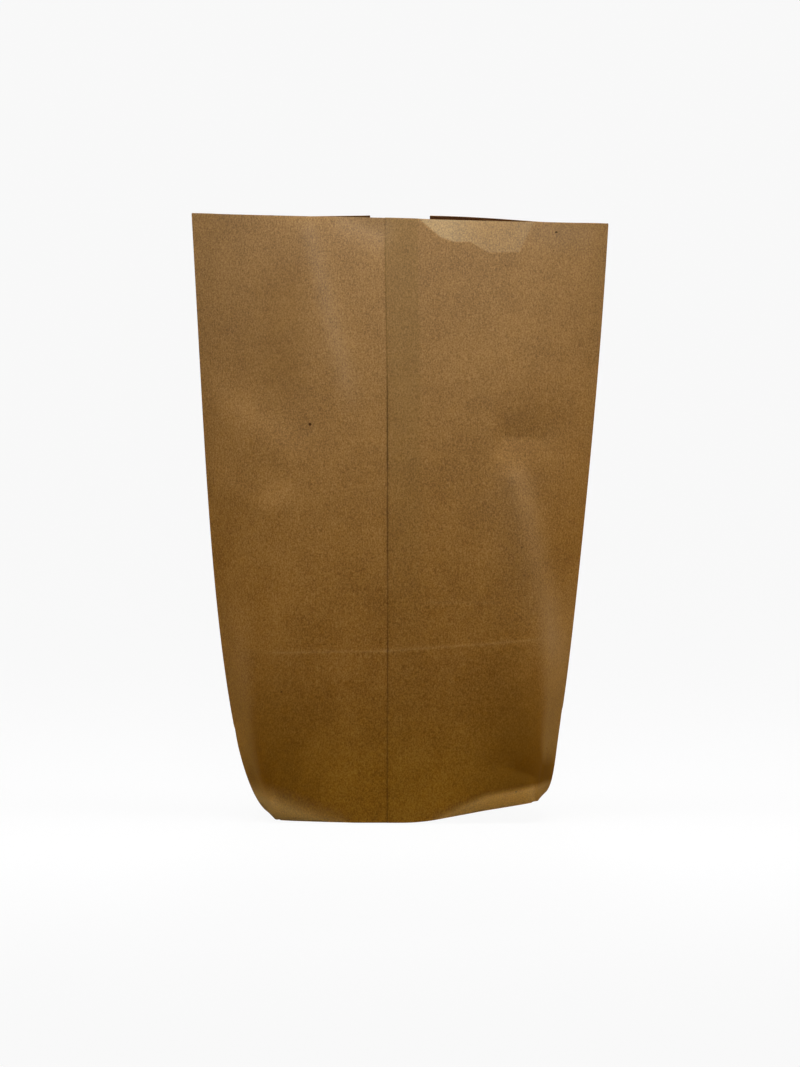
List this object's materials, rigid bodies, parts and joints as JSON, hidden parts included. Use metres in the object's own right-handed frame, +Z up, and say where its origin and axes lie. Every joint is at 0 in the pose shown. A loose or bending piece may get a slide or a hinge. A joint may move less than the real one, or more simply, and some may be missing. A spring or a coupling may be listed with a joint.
{
  "type": "multiwall paper sack",
  "caption": "Open-mouth brown kraft paper sack with a pasted long seam, a thumb notch in one rim and a pasted cross bottom, standing open to be filled.",
  "frame": {"origin": "on the floor, under the middle of the sack, on the flat of the pasted bottom", "axes": "+Z up towards the open mouth, +X along the width, and the wall with the long seam faces -Y"},
  "size_m": [0.3204, 0.1307, 0.464],
  "materials": {
    "kraft_paper": "uncoated brown kraft paper, matt, with fine fibre mottling"
  },
  "bodies": {
    "root": {"paper_sack": "kraft_paper"}
  },
  "joints": []
}
